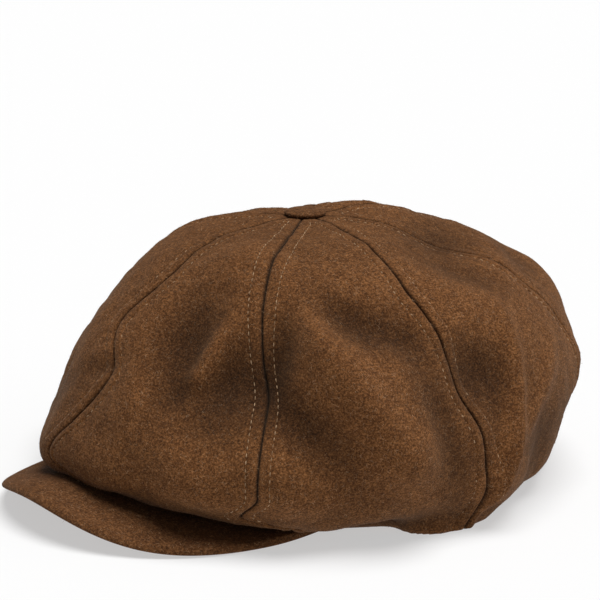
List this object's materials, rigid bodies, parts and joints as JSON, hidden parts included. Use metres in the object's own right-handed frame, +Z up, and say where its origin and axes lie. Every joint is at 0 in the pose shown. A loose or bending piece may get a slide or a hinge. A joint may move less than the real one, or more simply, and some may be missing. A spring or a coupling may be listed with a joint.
{
  "type": "eight-panel newsboy style flat cap",
  "caption": "Full soft cap of wool cloth with gored crown panels, a covered button and a stiff curved peak, resting on a surface.",
  "frame": {"origin": "on the surface it rests on, under the middle of the whole cap", "axes": "the peak points to -Y, +X is the wearer's left, +Z is up; the cap is longest along Y and lowest along Z"},
  "size_m": [0.2648, 0.3014, 0.1351],
  "materials": {
    "crown_cloth": "brown melton wool, matt and lightly hairy",
    "peak_cloth": "the same wool stretched over a stiff peak",
    "button_cloth": "the same wool gathered over a button mould"
  },
  "bodies": {
    "root": {"crown_panel_1": "crown_cloth", "crown_panel_2": "crown_cloth", "crown_panel_3": "crown_cloth", "crown_panel_4": "crown_cloth", "crown_panel_5": "crown_cloth", "crown_panel_6": "crown_cloth", "crown_panel_7": "crown_cloth", "crown_panel_8": "crown_cloth", "button": "button_cloth", "peak": "peak_cloth"}
  },
  "joints": []
}
